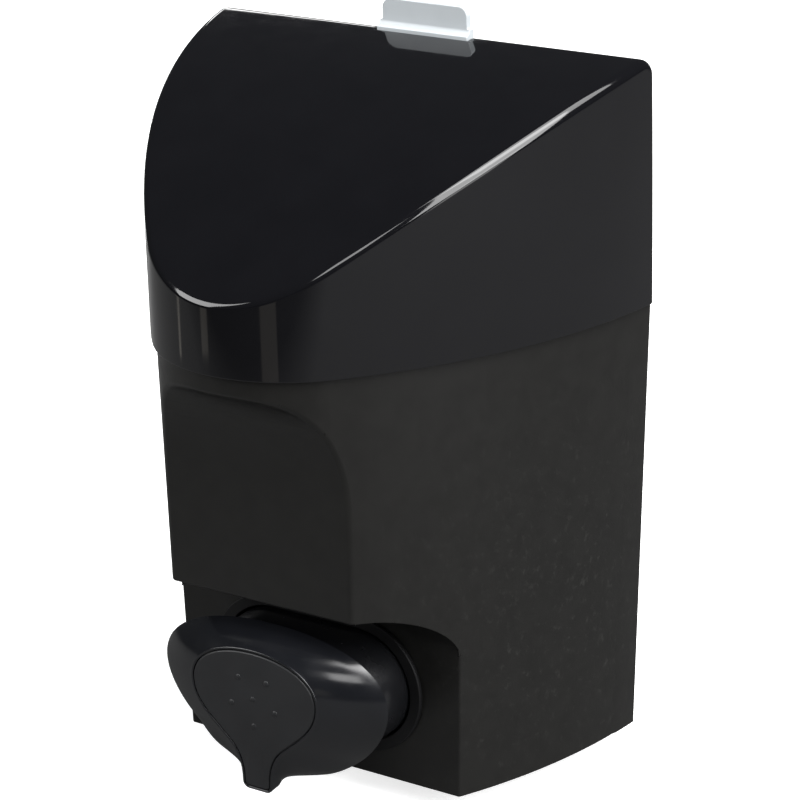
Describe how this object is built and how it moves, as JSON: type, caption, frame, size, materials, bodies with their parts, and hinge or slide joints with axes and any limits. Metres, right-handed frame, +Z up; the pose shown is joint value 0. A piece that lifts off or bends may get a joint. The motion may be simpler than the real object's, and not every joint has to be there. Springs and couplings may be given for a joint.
{
  "type": "wall mounted soap dispenser",
  "caption": "Wall mounted bulk liquid soap dispenser: black reservoir with a lift-off sloping lid, front push button pump with a beak spout, and a grey wall plate with a release catch.",
  "frame": {"origin": "centre of the wall plate's rectangle of screw holes, on its back face, which lies on the wall", "axes": "+Z up, +Y into the wall, so the front faces -Y; +X to the right seen from the front"},
  "size_m": [0.127, 0.101, 0.1855],
  "materials": {
    "gloss_black": "polished",
    "satin_black": "satin",
    "button_black": "semi-gloss",
    "pad_charcoal": "fine satin",
    "grey_plastic": "satin",
    "pump_plastic": "smooth natural",
    "seal_rubber": "smooth",
    "valve_silicone": "soft translucent look",
    "steel": "drawn"
  },
  "bodies": {
    "dispenser": {"wall_plate": "grey_plastic", "catch_pin": "steel", "catch_spring": "steel", "reservoir": "satin_black", "button_guide": "satin_black", "pump_cylinder": "pump_plastic", "cylinder_cap": "pump_plastic", "stem_seal": "seal_rubber", "flange_gasket": "seal_rubber", "lock_nut": "pump_plastic", "return_spring": "steel", "inlet_seat": "pump_plastic", "inlet_strainer": "pump_plastic"},
    "lid": {"lid": "gloss_black"},
    "catch": {"catch_lever": "grey_plastic"},
    "pump": {"push_button": "button_black", "thumb_pad": "pad_charcoal", "button_skirt": "button_black", "spout": "pump_plastic", "nozzle_valve": "valve_silicone", "button_screw": "steel", "pump_stem": "pump_plastic", "piston": "pump_plastic", "piston_seal": "seal_rubber"},
    "inlet_ball": {"inlet_ball": "steel"}
  },
  "joints": [
    {"name": "pump_push", "type": "slide", "parent": "dispenser", "child": "pump", "axis": [0, 1, 0], "range_m": [0, 0.012], "stiffness_N_per_m": 450, "springref_m": -0.008, "deforming": ["return_spring"]},
    {"name": "lid_lift", "type": "slide", "parent": "dispenser", "child": "lid", "axis": [0, 0, 1], "range_m": [0, 0.075]},
    {"name": "catch_press", "type": "hinge", "parent": "dispenser", "child": "catch", "pos_m": [0, -0.0062, 0.025], "axis": [-1, 0, 0], "range_deg": [0, 2.6], "stiffness_Nm_per_rad": 1, "springref_deg": -6.88, "deforming": ["catch_spring"]},
    {"name": "inlet_ball_lift", "type": "slide", "parent": "dispenser", "child": "inlet_ball", "axis": [0, 0, 1], "range_m": [0, 0.0018]}
  ]
}
